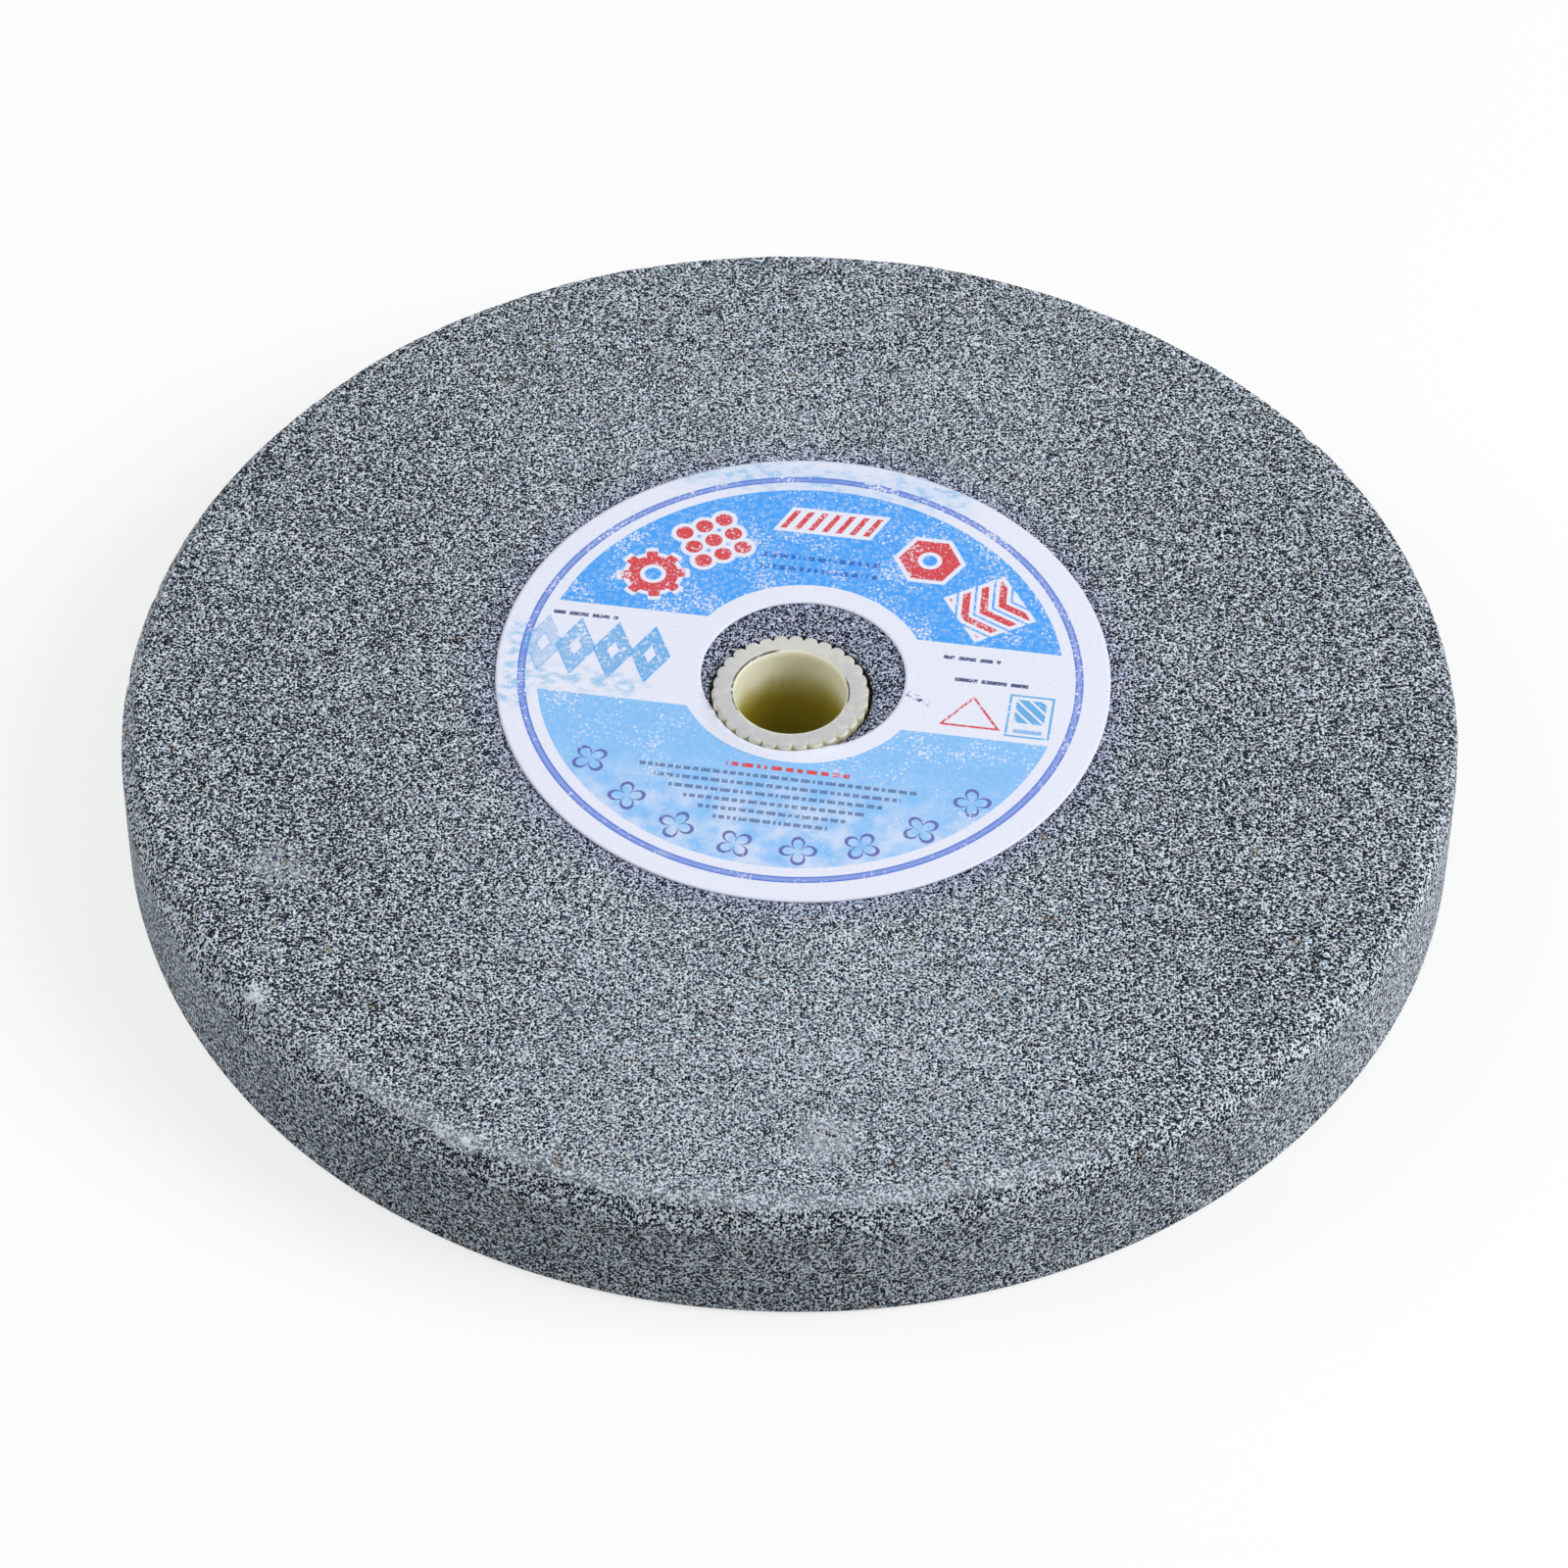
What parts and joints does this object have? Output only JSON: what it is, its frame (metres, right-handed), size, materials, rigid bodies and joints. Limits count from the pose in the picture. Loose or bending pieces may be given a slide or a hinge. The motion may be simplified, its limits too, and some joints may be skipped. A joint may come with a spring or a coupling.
{
  "type": "bench grinding wheel",
  "caption": "Flat round vitrified abrasive wheel with worn outer corners, a toothed nylon reducing bush in its hole and a round printed paper label on one side.",
  "frame": {"origin": "on the arbor bore's axis, at the centre of the bare underside", "axes": "+Z along the bore axis, towards the labelled side; +X and +Y lie in the wheel's plane"},
  "size_m": [0.15, 0.15, 0.017],
  "materials": {
    "abrasive_stone": "pressed and fired, open grain",
    "ivory_nylon": "moulded, satin",
    "printed_paper": "printed, worn"
  },
  "bodies": {
    "root": {"abrasive_wheel": "abrasive_stone", "bush": "ivory_nylon", "paper_label": "printed_paper"}
  },
  "joints": []
}
